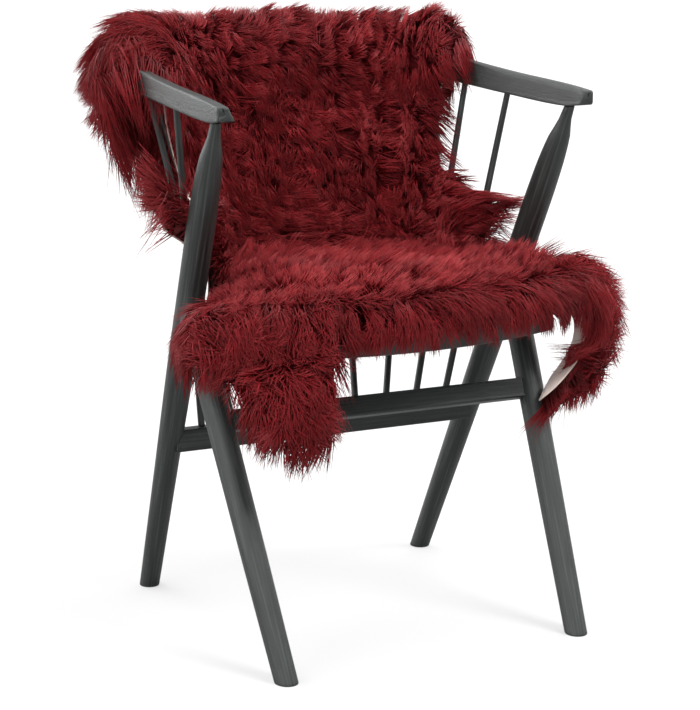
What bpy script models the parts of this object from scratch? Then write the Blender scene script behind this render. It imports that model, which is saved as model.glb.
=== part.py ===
"""A long-wool sheepskin thrown over a spindle-back wooden armchair.

The sheepskin is one solid: the skin with its wool standing on it, as a lumpy slab with locks at its rim.
It hangs behind the back's top rail, comes over the rail, lies down the inside of the back and along the
seat, and falls over the front edge as two leg flaps. The chair under it has two long legs that carry the
arms, two front legs that meet them, a bent arm rail, a seat, two cross rails and nine spindles.

Metres, +Z up. The chair's front faces -Y, and +X is on the right of someone who looks at that front.
"""
import math

import bmesh
import bpy
import numpy as np
from mathutils import Matrix, Vector

# Where the chair's middle stands, so that the origin is under the middle of the whole
CHAIR_AT = (-0.0307, -0.0674)
CLEAR = 0.0003

# Legs: the long legs run from the rear feet up and forward to the arms, the front legs run up to them
FOOT_REAR = (0.2216, 0.2290)
FOOT_FRONT = (0.2154, -0.2290)
ARM_POST = (0.2566, -0.1203, 0.7000)
LEG_MEET = (0.2436, 0.0055, 0.4477)
LEG_SIDES = 24
LONG_LEG_PROFILE = (   # share of the height, radius
    (0.00, 0.0140), (0.30, 0.0165), (0.56, 0.0186), (0.80, 0.0187),
    (0.87, 0.0178), (0.935, 0.0145), (0.975, 0.0082), (1.00, 0.0068))
FRONT_LEG_PROFILE = ((0.00, 0.0150), (0.45, 0.0172), (0.80, 0.0180), (1.00, 0.0165))

# Arm rail: a level bent rail, straight at the back, round at the corners and straight along the arms
RAIL_BACK_Y = 0.300
RAIL_STRAIGHT = 0.070
RAIL_ROUND = 0.263
RAIL_TURN = math.radians(87.0)
RAIL_CHAMFER = 0.0025
RAIL_SLOPE_SLIP = 0.0012   # how far the top chamfer runs over onto the sloping inner face
RAIL_PLACES = (0.0, 0.070, 0.110, 0.1375, 0.165, 0.1925, 0.220, 0.2475, 0.275, 0.3025, 0.330,
               0.385, 0.440, 0.500, 0.550, 0.590, 0.6245, 0.628)
RAIL_SECTIONS = (   # distance along from the back's middle, underside z, top z, width below, width on top
    (0.000, 0.7200, 0.7650, 0.0230, 0.0150),
    (0.200, 0.7180, 0.7580, 0.0230, 0.0150),
    (0.330, 0.7126, 0.7450, 0.0235, 0.0145),
    (0.440, 0.7066, 0.7360, 0.0240, 0.0145),
    (0.590, 0.7003, 0.7265, 0.0240, 0.0145),
    (0.628, 0.7040, 0.7225, 0.0240, 0.0145))

# Seat: a thin shaped board let in between the legs
SEAT_TOP = 0.4300
SEAT_THICK = 0.0350
SEAT_EDGE = 0.0035
SEAT_FRONT_Y = -0.171
SEAT_FRONT_CORNER_Y = -0.118
SEAT_REAR_Y = 0.150
SEAT_REAR_HALF = 0.200
SEAT_REAR_CORNER_Y = 0.058
SEAT_FRONT_BOW_HALF = 0.2386
SEAT_SIDE = ((0.2460, -0.106), (0.2440, -0.055))

# Cross rails and spindles
RAIL_EDGE = 0.0025
FRONT_RAIL = {"y": -0.0686, "z": 0.3063, "deep": 0.016, "tall": 0.028, "half": 0.2320, "lean": 27.6}
REAR_RAIL = {"y": 0.1000, "z": 0.2440, "deep": 0.020, "tall": 0.031, "half": 0.2300, "lean": 0.0}
SPINDLES_EACH_SIDE = 4
SPINDLE_PITCH_BELOW = 0.0475
SPINDLE_PITCH_ABOVE = 0.1100
SPINDLE_RADII = (0.0048, 0.0042)
SPINDLE_SIDES = 12

# Sheepskin: one row for each section across it, from the hem behind the rail to the end of the front flap.
# y and z place its middle; it is level for `flat`, bends round by `turn` degrees (forward) up to `reach`
# and flares back out by `flare` degrees past it; left and right are the skin's half widths; fold and angle
# say where each side starts to fall (or to rise, when the angle is below zero); pile is the wool's height.
SECTION_COLUMNS = ("y", "z", "flat", "reach", "turn", "flare",
                   "left", "right", "fold_l", "angle_l", "fold_r", "angle_r", "pile")
SECTIONS = (
    ("rear hem",     0.331, 0.520, .070, .370, 87, 0, .240, .200, .26, 0, .26, 0, .042),
    ("rear hang",    0.329, 0.650, .070, .370, 87, 0, .310, .235, .26, 0, .26, 0, .044),
    ("rail rear",    0.3255, 0.745, .070, .367, 87, 0, .368, .320, .26, 0, .26, 0, .048),
    ("rail top",     0.303, 0.7725, .070, .335, 87, 0, .346, .332, .26, 0, .26, 0, .048),
    ("rail front",   0.2805, 0.745, .070, .302, 87, 0, .314, .300, .26, 0, .26, 0, .046),
    ("upper back",   0.2675, 0.675, .068, .286, 84, 0, .276, .276, .26, 0, .26, 0, .044),
    ("middle back",  0.237, 0.600, .066, .266, 80, 10, .252, .272, .24, 0, .24, -8, .044),
    ("lower back",   0.202, 0.524, .062, .236, 76, 66, .395, .345, .20, -17, .20, -17, .046),
    ("upper corner", 0.180, 0.472, .058, .200, 68, 56, .388, .330, .18, -25, .18, -25, .048),
    ("corner",       0.158, 0.447, .056, .195, 62, 44, .315, .290, .18, -31, .18, -28, .054),
    ("seat rear",    0.120, 0.4325, .060, .200, 46, 22, .226, .232, .18, -14, .18, -14, .062),
    ("behind legs",  0.070, 0.4303, .060, .200, 16, 0, .214, .214, .20, 0, .20, 0, .067),
    ("at the legs",  0.000, 0.4303, .030, .220, 2, 0, .212, .212, .266, 0, .268, 0, .066),
    ("seat front",  -0.070, 0.4303, .000, .240, -6, 0, .280, .305, .257, 60, .268, 70, .062),
    ("front roll",  -0.130, 0.4303, .000, .250, -18, 0, .310, .425, .257, 70, .265, 146, .056),
    ("front edge",  -0.178, 0.4315, .000, .250, -22, 0, .320, .475, .255, 60, .258, 148, .050),
    ("front face",  -0.190, 0.405, .020, .250, -28, 0, .312, .440, .255, 35, .256, 148, .044),
    ("flap",        -0.205, 0.340, .130, .300, -66, 0, .300, .300, .30, 0, .30, 0, .044),
    ("flap end",    -0.207, 0.250, .130, .290, -70, 0, .270, .270, .30, 0, .30, 0, .040))
FOLD_RADIUS_LEFT = 0.024
FOLD_RADIUS_RIGHT = 0.047
FLARE_START = 0.045
FLARE_LENGTH = 0.060
RAIL_FALL = 0.012      # how much lower the rail's top is at the hide's sides than at its middle
HEM_REAR = (     # share across (-1 is the left edge), metres from the rear hem
    (-1.0, .190), (-.86, .140), (-.70, .080), (-.58, .060), (-.42, .095), (-.20, .120), (.0, .090),
    (.20, .120), (.42, .100), (.62, .070), (.80, .110), (1.0, .190))
HEM_FRONT = (    # share across, metres past the seat's front edge
    (-1.0, -.035), (-.88, .045), (-.74, .100), (-.60, .138), (-.50, .132), (-.43, .060), (-.37, .014),
    (.0, .010), (.50, .010), (.80, .002), (1.0, -.020))
SWELLS = (       # where the wool stands thicker: section, share across, spread along, spread across, height
    ("rail top", -1.00, .060, .35, .018),
    ("rail top", .95, .050, .25, .008),
    ("middle back", .55, .030, .40, .014),
    ("upper back", .10, .050, .18, .008),
    ("at the legs", -.30, .022, .80, .006),
    ("seat front", .20, .022, .90, .008),
    ("seat front", .80, .070, .30, .012),
    ("front roll", .80, .060, .25, .008),
    ("seat front", -1.00, .090, .30, -.020),
    ("upper corner", -1.00, .070, .22, .012),
    ("upper corner", -.70, .050, .10, -.012),
    ("upper corner", .80, .050, .16, -.012))
RIM_STANDS = (   # where the wool stands up at the rim itself: section, share across, spreads, height
    ("upper corner", -1.00, .060, .25, .044),
    ("upper corner", 1.00, .050, .20, .018))
FLANK_LIFT = (   # where it turns up as the flanks push out beside the legs: section, share across, spreads, share
    ("upper corner", -1.00, .060, .30, 1.3),
    ("upper corner", 1.00, .060, .30, 0.9))
CREASE_LIFT = (  # how far the wool turns upwards in the crease between back and seat: section, share
    ("rear hem", 0.0), ("lower back", 0.0), ("corner", 0.8), ("seat rear", 0.8), ("at the legs", 0.0),
    ("flap end", 0.0))
HIDE_ROWS = (    # rows of the grid up to each section; the last ones run to the front hem
    ("rail rear", 9), ("rail top", 3), ("rail front", 3), ("upper back", 4), ("middle back", 5),
    ("lower back", 8), ("upper corner", 4), ("corner", 2), ("seat rear", 2), ("behind legs", 3),
    ("at the legs", 4), ("seat front", 4), ("front roll", 4), ("front hem", 9))
HIDE_COLUMNS = 40
RIM_THICK = 0.008
LOCK_LENGTH = 0.034
LOCK_SHORT = 0.012
LOCK_SEED = 7
LUMP = 0.0045
BAR_CLEARANCE = 0.0115
LONG_LEG_WIDEST = 0.0220
FRONT_LEG_WIDEST = 0.0210
RAIL_FALL_HALF = 0.31      # half width over which the rail's fall is counted
LUMP_WAVES = (118.0, 96.0)
LUMP_SWAYS = (31.0, 27.0)
RIPPLES = (61.0, 44.0)
RIM_ROUND = 2.5            # grid steps over which the wool rounds down to its rim

BLACK_STAINED_WOOD = (0.012, 0.012, 0.013, 1.0)
CRIMSON_WOOL = (0.180, 0.009, 0.013, 1.0)


def start_empty():
    """Remove whatever the file holds, and make the collections for the parts and for the cutters."""
    for old in list(bpy.data.objects):
        bpy.data.objects.remove(old, do_unlink=True)
    made = []
    for name in ("sheepskin_on_chair", "cutters"):
        collection = bpy.data.collections.new(name)
        bpy.context.scene.collection.children.link(collection)
        made.append(collection)
    return made


def make_material(name, colour, roughness):
    """A Principled material of one colour and roughness."""
    material = bpy.data.materials.new(name)
    material.use_nodes = True
    shader = material.node_tree.nodes["Principled BSDF"]
    shader.inputs["Base Color"].default_value = colour
    shader.inputs["Roughness"].default_value = roughness
    shader.inputs["Metallic"].default_value = 0.0
    material.diffuse_color = colour
    return material


def add_object(name, mesh, collection, material=None):
    """An object for a mesh, standing where the chair stands."""
    thing = bpy.data.objects.new(name, mesh)
    thing.location = (CHAIR_AT[0], CHAIR_AT[1], 0.0)
    collection.objects.link(thing)
    if material:
        mesh.materials.append(material)
    else:
        thing.hide_render = True
        thing.display_type = "WIRE"
    return thing


def mesh_from(name, points, faces):
    """A mesh from an array of points and a list of faces."""
    mesh = bpy.data.meshes.new(name)
    mesh.from_pydata(points.tolist(), [], faces)
    mesh.update()
    return mesh


def cut(thing, cutter):
    """Take the cutter's space out of a part."""
    modifier = thing.modifiers.new("cut by " + cutter.name, "BOOLEAN")
    modifier.operation = "DIFFERENCE"
    modifier.solver = "EXACT"
    modifier.object = cutter


def bend(u, start, length, angle):
    """How far on and how far aside a strip goes at u: straight, then round by angle over length, then straight."""
    angle = np.where(np.abs(angle) < 1e-3, 1e-3, angle)
    share = np.clip((u - start) / length, 0.0, 1.0)
    past = np.maximum(u - start - length, 0.0)
    on = np.minimum(u, start) + length * np.sin(angle * share) / angle + past * np.cos(angle)
    aside = length * (1.0 - np.cos(angle * share)) / angle + past * np.sin(angle)
    return on, aside


def smooth(at, places, values):
    """A curve through the values that never swings past them, so that a level stretch stays level."""
    places = np.asarray(places, float)
    values = np.asarray(values, float)
    gaps = np.diff(places)
    slopes = np.diff(values) / gaps
    tangents = np.concatenate((slopes[:1], np.zeros(len(places) - 2), slopes[-1:]))
    rising = slopes[:-1] * slopes[1:] > 0
    before = np.where(rising, slopes[:-1], 1.0)
    after = np.where(rising, slopes[1:], 1.0)
    weight_1 = 2.0 * gaps[1:] + gaps[:-1]
    weight_2 = gaps[1:] + 2.0 * gaps[:-1]
    mean = (weight_1 + weight_2) / (weight_1 / before + weight_2 / after)
    tangents[1:-1] = np.where(rising, mean, 0.0)
    i = np.clip(np.searchsorted(places, at) - 1, 0, len(places) - 2)
    t = np.clip((at - places[i]) / gaps[i], 0.0, 1.0)
    from_left = (1 + 2 * t) * (1 - t) ** 2 * values[i] + t * (1 - t) ** 2 * gaps[i] * tangents[i]
    from_right = t * t * (3 - 2 * t) * values[i + 1] + t * t * (t - 1) * gaps[i] * tangents[i + 1]
    return from_left + from_right


def turned_bar(name, profile, foot, head, sides, grow=0.0):
    """A round bar spun from its profile, leaning from foot to head and sliced level at both ends."""
    foot = Vector(foot)
    rise = Vector(head) - foot
    lean = Vector((rise.x, rise.y, 0.0)) / rise.z
    stretch = math.sqrt(1.0 + lean.length_squared)
    bm = bmesh.new()
    rim = [bm.verts.new((radius + grow, 0.0, share * rise.z)) for share, radius in profile]
    line = [bm.verts.new((0.0, 0.0, 0.0)), *rim, bm.verts.new((0.0, 0.0, rise.z))]
    edges = [bm.edges.new(pair) for pair in zip(line, line[1:])]
    bmesh.ops.spin(bm, geom=line + edges, axis=(0, 0, 1), cent=(0, 0, 0), steps=sides,
                   angle=2.0 * math.pi, use_merge=True)
    bmesh.ops.remove_doubles(bm, verts=bm.verts, dist=1e-5)
    bmesh.ops.recalc_face_normals(bm, faces=bm.faces)
    # A level slice of a leaning round bar is an ellipse, longer the way the bar leans
    side_on = Matrix.Rotation(math.atan2(lean.y, lean.x), 4, "Z")
    longer = side_on @ Matrix.Scale(stretch, 4, (1, 0, 0)) @ side_on.inverted()
    leaning = Matrix.Identity(4)
    leaning[0][2] = lean.x
    leaning[1][2] = lean.y
    bmesh.ops.transform(bm, matrix=Matrix.Translation(foot) @ leaning @ longer, verts=bm.verts)
    mesh = bpy.data.meshes.new(name)
    bm.to_mesh(mesh)
    bm.free()
    return mesh


def rail_line(u):
    """The arm rail's middle line in plan, at u metres from the middle of the back; left is below zero."""
    on, aside = bend(np.abs(u), RAIL_STRAIGHT, RAIL_ROUND, RAIL_TURN)
    return np.sign(u) * on, RAIL_BACK_Y - aside


def rail_column(u, column):
    """One size of the rail's section at u, from its table."""
    table = np.array(RAIL_SECTIONS)
    return smooth(np.abs(u), table[:, 0], table[:, column])


def arm_rail_mesh():
    """The bent arm rail: a section with an upright outer face and a sloping inner one, carried along its line."""
    half = np.array(RAIL_PLACES)
    u = np.concatenate((-half[:0:-1], half))
    inset = np.zeros(len(u))
    inset[[0, -1]] = RAIL_CHAMFER
    x, y = rail_line(u)
    step = 1e-4
    ahead_x, ahead_y = rail_line(u + step)
    way = np.stack((ahead_x - x, ahead_y - y), 1) / step
    outward = np.stack((-way[:, 1], way[:, 0]), 1)
    low, high, below, on_top = (rail_column(u, k) for k in (1, 2, 3, 4))
    low = low + inset
    high = high - inset
    outer = below / 2 - inset
    inner_low = -below / 2 + inset
    inner_high = below / 2 - on_top + inset
    c = RAIL_CHAMFER
    section = ((inner_low + c, low), (outer - c, low), (outer, low + c), (outer, high - c),
               (outer - c, high), (inner_high + c, high), (inner_high - RAIL_SLOPE_SLIP, high - c), (inner_low, low + c))
    rings = [np.stack((x + outward[:, 0] * out, y + outward[:, 1] * out, z), 1) for out, z in section]
    points = np.stack(rings, 1)
    count, sides = points.shape[:2]
    faces = []
    for i in range(count - 1):
        for k in range(sides):
            nxt = (k + 1) % sides
            faces.append((i * sides + k, (i + 1) * sides + k, (i + 1) * sides + nxt, i * sides + nxt))
    faces.append(tuple(range(sides)))
    faces.append(tuple((count - 1) * sides + k for k in reversed(range(sides))))
    mesh = mesh_from("arm_rail", points.reshape(-1, 3), faces)
    bm = bmesh.new()
    bm.from_mesh(mesh)
    bmesh.ops.recalc_face_normals(bm, faces=bm.faces)
    bm.to_mesh(mesh)
    bm.free()
    return mesh


def seat_outline():
    """The seat's edge in plan, from the rear left corner round the front: a bowed front and a bowed rear."""
    across = np.linspace(-1.0, 1.0, 13)
    front_y = SEAT_FRONT_Y + (SEAT_FRONT_CORNER_Y - SEAT_FRONT_Y) * across ** 2
    front = np.stack((across * SEAT_FRONT_BOW_HALF, front_y), 1)
    rear_y = SEAT_REAR_Y + (SEAT_REAR_CORNER_Y - SEAT_REAR_Y) * across ** 2
    rear = np.stack((across * SEAT_REAR_HALF, rear_y), 1)[::-1]
    side = np.array(SEAT_SIDE)
    return np.concatenate((side[::-1] * (-1, 1), front, side, rear))


def seat_mesh():
    """The seat board: its outline filled and given its thickness."""
    bm = bmesh.new()
    ring = [bm.verts.new((x, y, SEAT_TOP - SEAT_THICK)) for x, y in seat_outline()]
    bottom = bm.faces.new(ring)
    grown = bmesh.ops.extrude_face_region(bm, geom=[bottom])
    top = [v for v in grown["geom"] if isinstance(v, bmesh.types.BMVert)]
    bmesh.ops.translate(bm, verts=top, vec=(0.0, 0.0, SEAT_THICK))
    level = [e for e in bm.edges if abs(e.verts[0].co.z - e.verts[1].co.z) < SEAT_THICK / 2]
    bmesh.ops.bevel(bm, geom=level, offset=SEAT_EDGE, segments=1, affect="EDGES")
    bmesh.ops.recalc_face_normals(bm, faces=bm.faces)
    mesh = bpy.data.meshes.new("seat")
    bm.to_mesh(mesh)
    bm.free()
    return mesh


def cross_rail_mesh(name, size):
    """A cross rail: a bar with broken edges, leaning with the legs that it joins."""
    bm = bmesh.new()
    bmesh.ops.create_cube(bm, size=1.0)
    bmesh.ops.scale(bm, vec=(2.0 * size["half"], size["deep"], size["tall"]), verts=bm.verts)
    along = [e for e in bm.edges if abs(e.verts[0].co.x - e.verts[1].co.x) > size["half"]]
    bmesh.ops.bevel(bm, geom=along, offset=RAIL_EDGE, segments=1, affect="EDGES")
    turn = Matrix.Rotation(-math.radians(size["lean"]), 4, "X")
    bmesh.ops.transform(bm, matrix=Matrix.Translation((0.0, size["y"], size["z"])) @ turn, verts=bm.verts)
    mesh = bpy.data.meshes.new(name)
    bm.to_mesh(mesh)
    bm.free()
    return mesh


def leg_ends(side):
    """Foot and head of the long leg and of the front leg on one side."""
    long_leg = ((side * FOOT_REAR[0], FOOT_REAR[1], 0.0), (side * ARM_POST[0], ARM_POST[1], ARM_POST[2]))
    front_leg = ((side * FOOT_FRONT[0], FOOT_FRONT[1], 0.0), (side * LEG_MEET[0], LEG_MEET[1], LEG_MEET[2]))
    return long_leg, front_leg


def make_chair(parts, cutters, wood):
    """The chair: legs, arm rail, seat, cross rails and spindles, each its own solid."""
    add_object("arm_rail", arm_rail_mesh(), parts, wood)
    seat = add_object("seat", seat_mesh(), parts, wood)
    front_rail = add_object("front_rail", cross_rail_mesh("front_rail", FRONT_RAIL), parts, wood)
    rear_rail = add_object("rear_rail", cross_rail_mesh("rear_rail", REAR_RAIL), parts, wood)
    for side, word in ((-1, "left"), (1, "right")):
        (rear_foot, head), (front_foot, meet) = leg_ends(side)
        long_leg = turned_bar("long_leg_" + word, LONG_LEG_PROFILE, rear_foot, head, LEG_SIDES)
        add_object("long_leg_" + word, long_leg, parts, wood)
        front_leg = turned_bar("front_leg_" + word, FRONT_LEG_PROFILE, front_foot, meet, LEG_SIDES)
        front_leg = add_object("front_leg_" + word, front_leg, parts, wood)
        round_long = turned_bar("cutter", LONG_LEG_PROFILE, rear_foot, head, LEG_SIDES, grow=CLEAR)
        round_long = add_object("round_long_leg_" + word, round_long, cutters)
        round_front = turned_bar("cutter", FRONT_LEG_PROFILE, front_foot, meet, LEG_SIDES, grow=CLEAR)
        round_front = add_object("round_front_leg_" + word, round_front, cutters)
        cut(front_leg, round_long)
        cut(seat, round_long)
        cut(seat, round_front)
        cut(front_rail, round_front)
        cut(rear_rail, round_long)
    rail_top = REAR_RAIL["z"] + REAR_RAIL["tall"] / 2
    for number in range(-SPINDLES_EACH_SIDE, SPINDLES_EACH_SIDE + 1):
        u = number * SPINDLE_PITCH_ABOVE
        x, y = rail_line(np.array(float(u)))
        underside = float(rail_column(np.array(float(u)), 1))
        foot = (number * SPINDLE_PITCH_BELOW, REAR_RAIL["y"], rail_top + CLEAR)
        head = (float(x), float(y), underside - 2.0 * CLEAR)
        profile = ((0.0, SPINDLE_RADII[0]), (0.5, SPINDLE_RADII[0]), (1.0, SPINDLE_RADII[1]))
        name = "spindle_" + str(number + SPINDLES_EACH_SIDE + 1)
        add_object(name, turned_bar(name, profile, foot, head, SPINDLE_SIDES), parts, wood)


def section_places():
    """Distance of each section along the hide, measured on its middle line."""
    middle = np.array([(row[1], row[2]) for row in SECTIONS])
    steps = np.hypot(*np.diff(middle, axis=0).T)
    return np.concatenate(([0.0], np.cumsum(steps)))


def place_of(name):
    """Distance along the hide of the section with this name."""
    return section_places()[[row[0] for row in SECTIONS].index(name)]


def section_value(column, along):
    """One column of the section table, smoothly between its rows."""
    values = [row[1 + SECTION_COLUMNS.index(column)] for row in SECTIONS]
    return smooth(along, section_places(), values)


def skin_point(along, across):
    """A point of the flesh side, from metres along the middle line and metres across from it."""
    u = np.abs(across)
    on_left = across < 0
    fold = np.where(on_left, section_value("fold_l", along), section_value("fold_r", along))
    angle = np.where(on_left, section_value("angle_l", along), section_value("angle_r", along))
    angle = np.radians(angle)
    radius = np.where(on_left, FOLD_RADIUS_LEFT, FOLD_RADIUS_RIGHT)
    out, down = bend(u, fold, np.maximum(np.abs(angle), 0.05) * radius, angle)
    flat = section_value("flat", along)
    reach = section_value("reach", along)
    turn = np.radians(section_value("turn", along))
    x, forward = bend(np.minimum(out, reach), flat, reach - flat, turn)
    past, outward = bend(np.maximum(out - reach, 0.0), FLARE_START, FLARE_LENGTH,
                         np.radians(section_value("flare", along)))
    x = x + past * np.cos(turn) + outward * np.sin(turn)
    forward = forward + past * np.sin(turn) - outward * np.cos(turn)
    on_rail = (0.0, place_of("rail rear"), place_of("rail front"), place_of("middle back"), place_of("flap end"))
    fall = RAIL_FALL * smooth(along, on_rail, (1, 1, 1, 0, 0)) * np.clip(u / RAIL_FALL_HALF, 0.0, 1.2) ** 2
    y = section_value("y", along) - forward
    z = section_value("z", along) - down - fall
    return np.stack((np.sign(across) * x, y, z), -1)


def clear_of_bar(points, foot, head, radius):
    """Push points that lie nearer to a leaning bar than radius straight out, level, to that distance."""
    foot = np.array(foot)
    rise = np.array(head) - foot
    share = (points[..., 2] - foot[2]) / rise[2]
    away = points[..., :2] - foot[:2] - share[..., None] * rise[:2]
    distance = np.linalg.norm(away, axis=-1)
    beside = (share > -0.05) & (share < 1.05)
    push = np.where(beside, np.maximum(radius - distance, 0.0) / distance, 0.0)
    moved = points.copy()
    moved[..., :2] += away * push[..., None]
    return moved


def bars_beside_hide():
    """The bars that the hide passes: both long legs, both front legs and the outer spindles, with their radii."""
    bars = []
    for side in (-1, 1):
        (rear_foot, head), (front_foot, meet) = leg_ends(side)
        bars.append((rear_foot, head, LONG_LEG_WIDEST))
        bars.append((front_foot, meet, FRONT_LEG_WIDEST))
        for number in range(SPINDLES_EACH_SIDE + 1):
            x, y = rail_line(np.array(number * SPINDLE_PITCH_ABOVE))
            below = (side * number * SPINDLE_PITCH_BELOW, REAR_RAIL["y"], REAR_RAIL["z"] + REAR_RAIL["tall"] / 2)
            above = (side * float(x), float(y), float(rail_column(np.array(number * SPINDLE_PITCH_ABOVE), 1)))
            bars.append((below, above, SPINDLE_RADII[0]))
    return bars


def hide_grid():
    """Share across and metres along and across for each point of the skin's grid, its rim drawn out into locks."""
    share = np.linspace(-1.0, 1.0, HIDE_COLUMNS + 1)
    start = smooth(share, *np.array(HEM_REAR).T)
    end = place_of("front edge") + smooth(share, *np.array(HEM_FRONT).T)
    ends = [start] + [np.full(len(share), place_of(name)) for name, _ in HIDE_ROWS[:-1]] + [end]
    bands = [low + (high - low) * np.arange(count)[:, None] / count
             for low, high, (_, count) in zip(ends, ends[1:], HIDE_ROWS)]
    along = np.concatenate(bands + [end[None, :]])
    share = share + 0.0 * along
    half = np.where(share < 0, section_value("left", along), section_value("right", along))
    across = share * half
    draws = np.random.default_rng(LOCK_SEED)
    rows, columns = share.shape
    lock_rows = LOCK_SHORT + (LOCK_LENGTH - LOCK_SHORT) * (np.arange(rows) % 2)
    lock_columns = LOCK_SHORT + (LOCK_LENGTH - LOCK_SHORT) * (np.arange(columns) % 2)
    beside = (0.0, place_of("seat rear"), place_of("behind legs"), place_of("at the legs") + 0.03,
              place_of("seat front"), place_of("flap end"))
    reach_out = smooth(along[:, 0], beside, (1, 1, 0, 0, 1, 1))   # no locks where the skin passes the legs
    for edge, way in ((0, -1.0), (-1, 1.0)):
        across[:, edge] += way * reach_out * lock_rows * draws.uniform(0.75, 1.15, rows)
        along[edge] += way * lock_columns * draws.uniform(0.75, 1.15, columns)
    return share, along, across


def mounds(table, share, along):
    """Sum of soft round mounds on the skin, one for each row of a table."""
    total = 0.0 * along
    for name, centre, spread_along, spread_across, height in table:
        off = ((along - place_of(name)) / spread_along) ** 2 + ((share - centre) / spread_across) ** 2
        total = total + height * np.exp(-off)
    return total


def wool_height(share, along, across):
    """How far the wool stands above the skin: the table's pile, its swells and lumps, drawn in at the rim."""
    height = section_value("pile", along) + mounds(SWELLS, share, along)
    sway_along = LUMP_WAVES[0] * along + 2.0 * np.sin(LUMP_SWAYS[0] * across)
    sway_across = LUMP_WAVES[1] * across + 1.7 * np.sin(LUMP_SWAYS[1] * along)
    waves = np.sin(sway_along) * np.cos(sway_across)
    ripples = np.sin(RIPPLES[0] * along + RIPPLES[1] * across + 1.0)
    height = height + LUMP * (waves + 0.7 * ripples)
    rows, columns = share.shape
    from_row = np.minimum(np.arange(rows), np.arange(rows)[::-1])
    from_column = np.minimum(np.arange(columns), np.arange(columns)[::-1])
    from_rim = np.minimum(from_row[:, None], from_column)
    rounded = 1.0 - (1.0 - np.minimum(from_rim / RIM_ROUND, 1.0)) ** 2
    rim = RIM_THICK + mounds(RIM_STANDS, share, along)
    return rim + (height - rim) * rounded


def grid_normals(points):
    """Unit normals of a grid of points, on the wool's side."""
    normals = np.cross(np.gradient(points, axis=0), np.gradient(points, axis=1))
    for _ in range(2):
        padded = np.pad(normals, ((1, 1), (1, 1), (0, 0)), mode="edge")
        normals = (2 * normals + padded[:-2, 1:-1] + padded[2:, 1:-1] + padded[1:-1, :-2] + padded[1:-1, 2:]) / 6
    return normals / np.linalg.norm(normals, axis=-1, keepdims=True)


def make_hide(parts, wool):
    """The sheepskin as one closed slab: the flesh side, the wool's outer face and the rim between them."""
    share, along, across = hide_grid()
    flesh = skin_point(along, across)
    for foot, head, radius in bars_beside_hide():
        flesh = clear_of_bar(flesh, foot, head, radius + BAR_CLEARANCE)
    height = wool_height(share, along, across)
    stands = grid_normals(flesh)
    stands[..., 2] += smooth(along, [place_of(name) for name, _ in CREASE_LIFT], [lift for _, lift in CREASE_LIFT])
    stands[..., 2] += mounds(FLANK_LIFT, share, along)
    stands /= np.linalg.norm(stands, axis=-1, keepdims=True)
    tips = flesh + stands * height[..., None]
    for foot, head, radius in bars_beside_hide():
        tips = clear_of_bar(tips, foot, head, radius + BAR_CLEARANCE)
    rows, columns = share.shape
    number = np.arange(rows * columns).reshape(rows, columns)
    lower = np.stack((number[:-1, :-1], number[:-1, 1:], number[1:, 1:], number[1:, :-1]), -1).reshape(-1, 4)
    upper = lower[:, ::-1] + rows * columns
    rim = np.concatenate((number[0, :-1], number[:-1, -1], number[-1, :0:-1], number[:0:-1, 0]))
    after = np.roll(rim, -1)
    wall = np.stack((rim, rim + rows * columns, after + rows * columns, after), -1)
    faces = np.concatenate((lower, upper, wall)).tolist()
    points = np.concatenate((flesh.reshape(-1, 3), tips.reshape(-1, 3)))
    mesh = mesh_from("sheepskin", points, faces)
    mesh.shade_smooth()
    return add_object("sheepskin", mesh, parts, wool)


def main():
    """Make the chair and then the hide on it."""
    parts, cutters = start_empty()
    wood = make_material("black stained wood", BLACK_STAINED_WOOD, 0.42)
    wool = make_material("crimson wool", CRIMSON_WOOL, 0.85)
    make_chair(parts, cutters, wood)
    make_hide(parts, wool)


main()
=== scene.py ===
# %% [markdown]
# # A crimson sheepskin thrown over a black spindle-back armchair
#
# The real thing is one tanned sheepskin with its wool left long and dyed deep red. It hangs behind the
# chair's top rail, comes over the rail, lies down the inside of the back and along the seat, and its two
# leg ends fall over the front edge. The chair is turned and bent hardwood under a black stain.
#
# The lesson takes the shared frame, the studio, the wood, the skin as a surface of two parameters, and then
# the wool, which is tens of thousands of tapered strands.

# %% The shared frame
import math

import bpy
import numpy as np
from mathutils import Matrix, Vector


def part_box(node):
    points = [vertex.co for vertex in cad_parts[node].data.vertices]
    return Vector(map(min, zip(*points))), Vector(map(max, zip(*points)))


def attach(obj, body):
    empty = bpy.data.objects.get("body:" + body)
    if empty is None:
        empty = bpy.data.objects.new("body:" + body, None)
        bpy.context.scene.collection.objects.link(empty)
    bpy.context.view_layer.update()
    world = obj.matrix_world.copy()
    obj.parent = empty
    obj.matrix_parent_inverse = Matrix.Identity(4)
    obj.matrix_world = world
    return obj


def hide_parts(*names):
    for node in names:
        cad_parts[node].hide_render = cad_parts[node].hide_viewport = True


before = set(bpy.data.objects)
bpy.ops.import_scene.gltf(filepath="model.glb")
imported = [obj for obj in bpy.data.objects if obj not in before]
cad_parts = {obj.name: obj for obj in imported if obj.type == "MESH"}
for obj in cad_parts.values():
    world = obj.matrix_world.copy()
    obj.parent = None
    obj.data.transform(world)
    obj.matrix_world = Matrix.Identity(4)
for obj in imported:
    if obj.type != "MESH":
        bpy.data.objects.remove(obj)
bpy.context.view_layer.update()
seat_low, seat_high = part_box("seat")
CHAIR = np.array([(seat_low.x + seat_high.x) / 2, seat_low.y + 0.171, 0.0])
print("chair stands at", CHAIR.round(4), "with", len(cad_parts), "solids")

# %% [markdown]
# ## Camera
#
# The photograph was taken from the front left with a long lens. The camera's place was solved from the feet,
# the leg joints and the arm ends, so it is given in the chair's own frame.

# %% Camera
CAMERA_AT = np.array([-1.3155, -2.6161, 0.9719])
CAMERA_DOWN = math.degrees(0.2057)
CAMERA_ROUND = math.degrees(0.4624)
CAMERA_LENS = 111.05

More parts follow.
